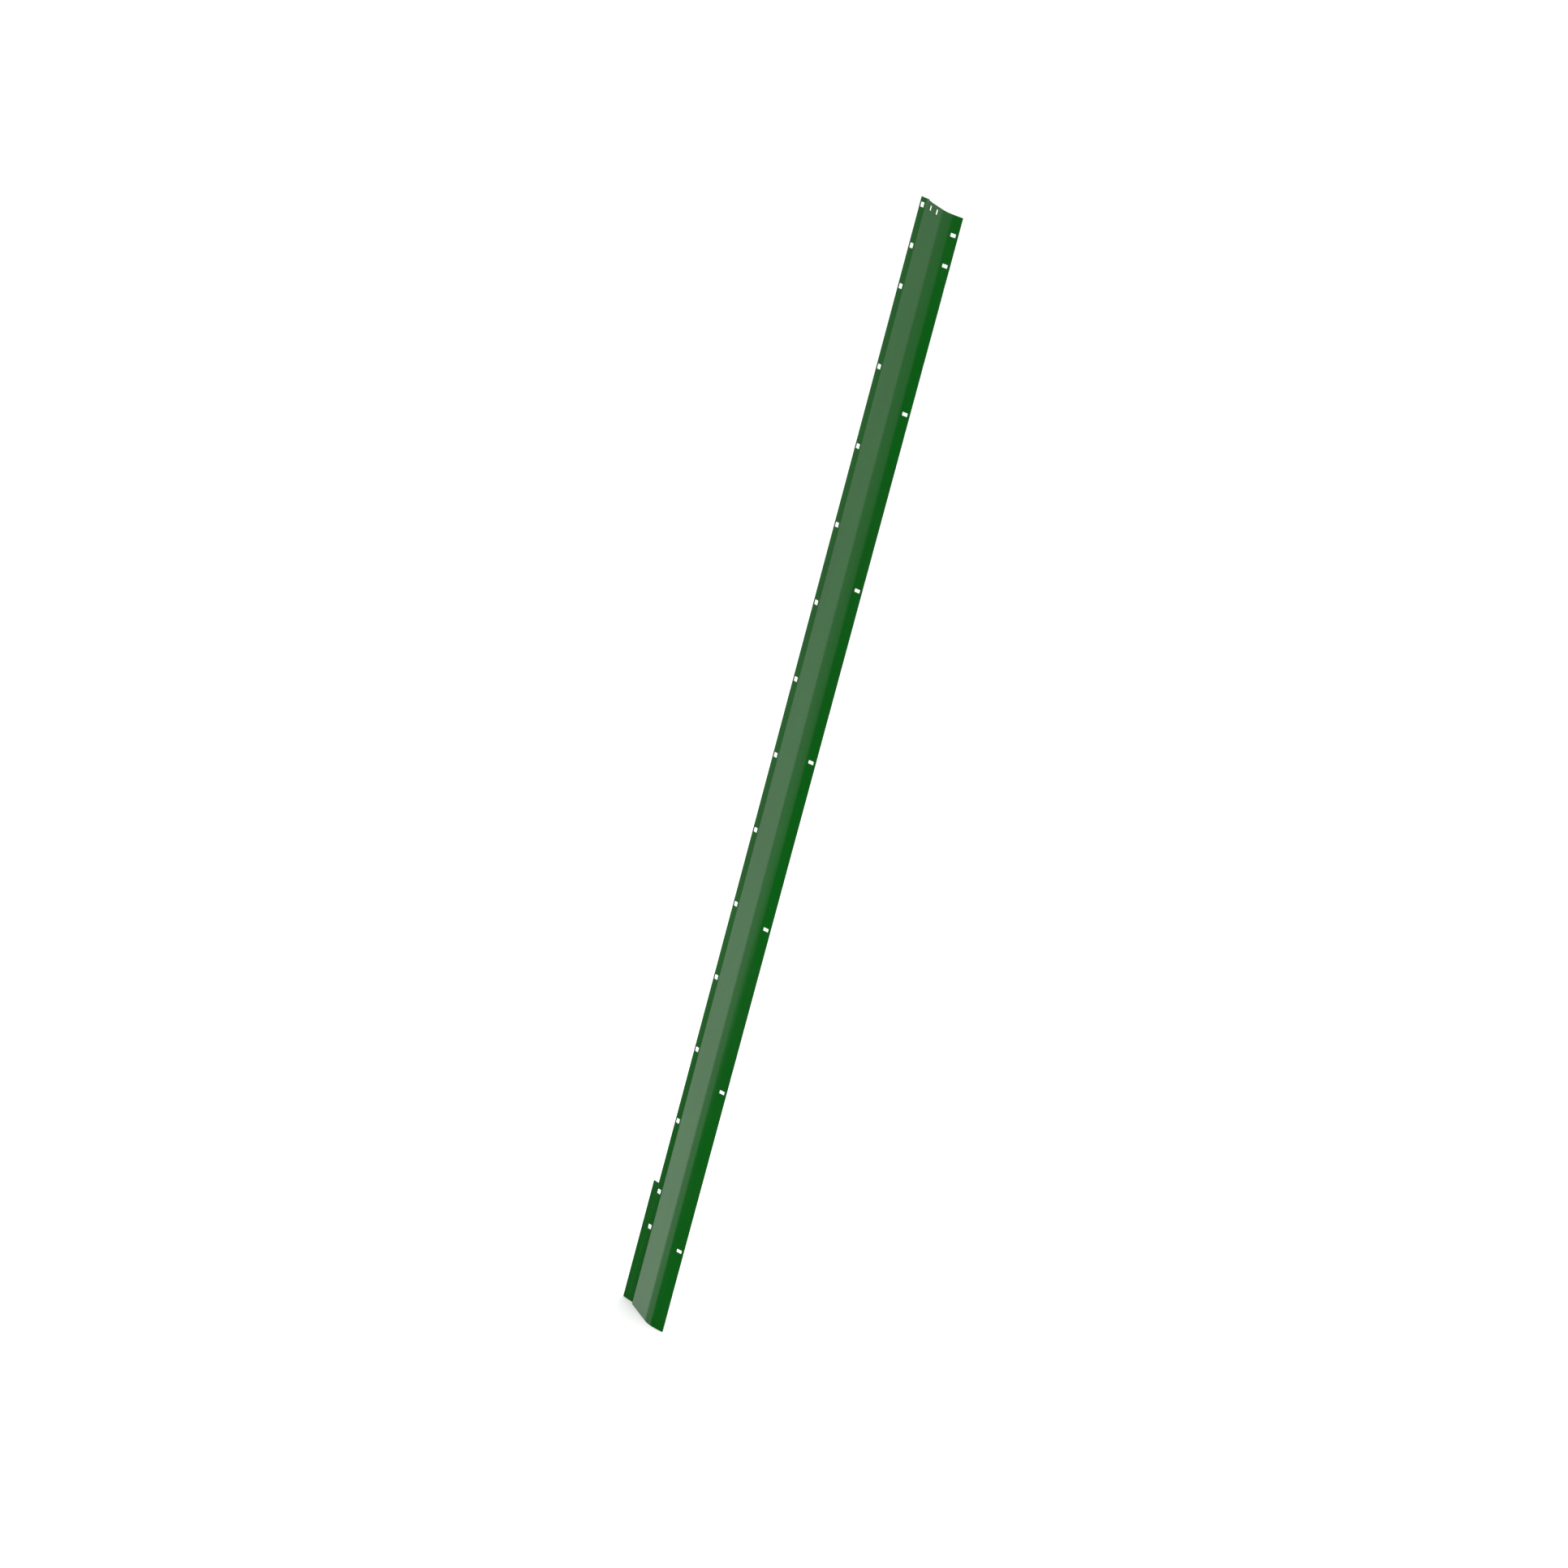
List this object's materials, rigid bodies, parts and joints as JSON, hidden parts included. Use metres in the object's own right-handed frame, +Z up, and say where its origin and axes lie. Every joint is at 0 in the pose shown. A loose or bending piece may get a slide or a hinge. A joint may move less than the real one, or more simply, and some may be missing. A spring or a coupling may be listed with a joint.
{
  "type": "delineator post",
  "caption": "Bare ground-driven marker post of thin green-coated sheet: a curved face with a slotted flange on one edge, a slotted lip on the other and a fin at the foot.",
  "frame": {"origin": "at the foot end, in the middle of the section's box", "axes": "+Z up the post, +X across the face from the slotted flange to the lip, and the raised face looks towards -Y"},
  "size_m": [0.1048, 0.0284, 1.675],
  "materials": {
    "coated_sheet": "satin",
    "coated_weld": "satin"
  },
  "bodies": {
    "root": {"face_panel": "coated_sheet", "edge_rail": "coated_sheet", "anchor_fin": "coated_sheet", "lap_welds": "coated_weld", "fin_weld": "coated_weld"}
  },
  "joints": []
}
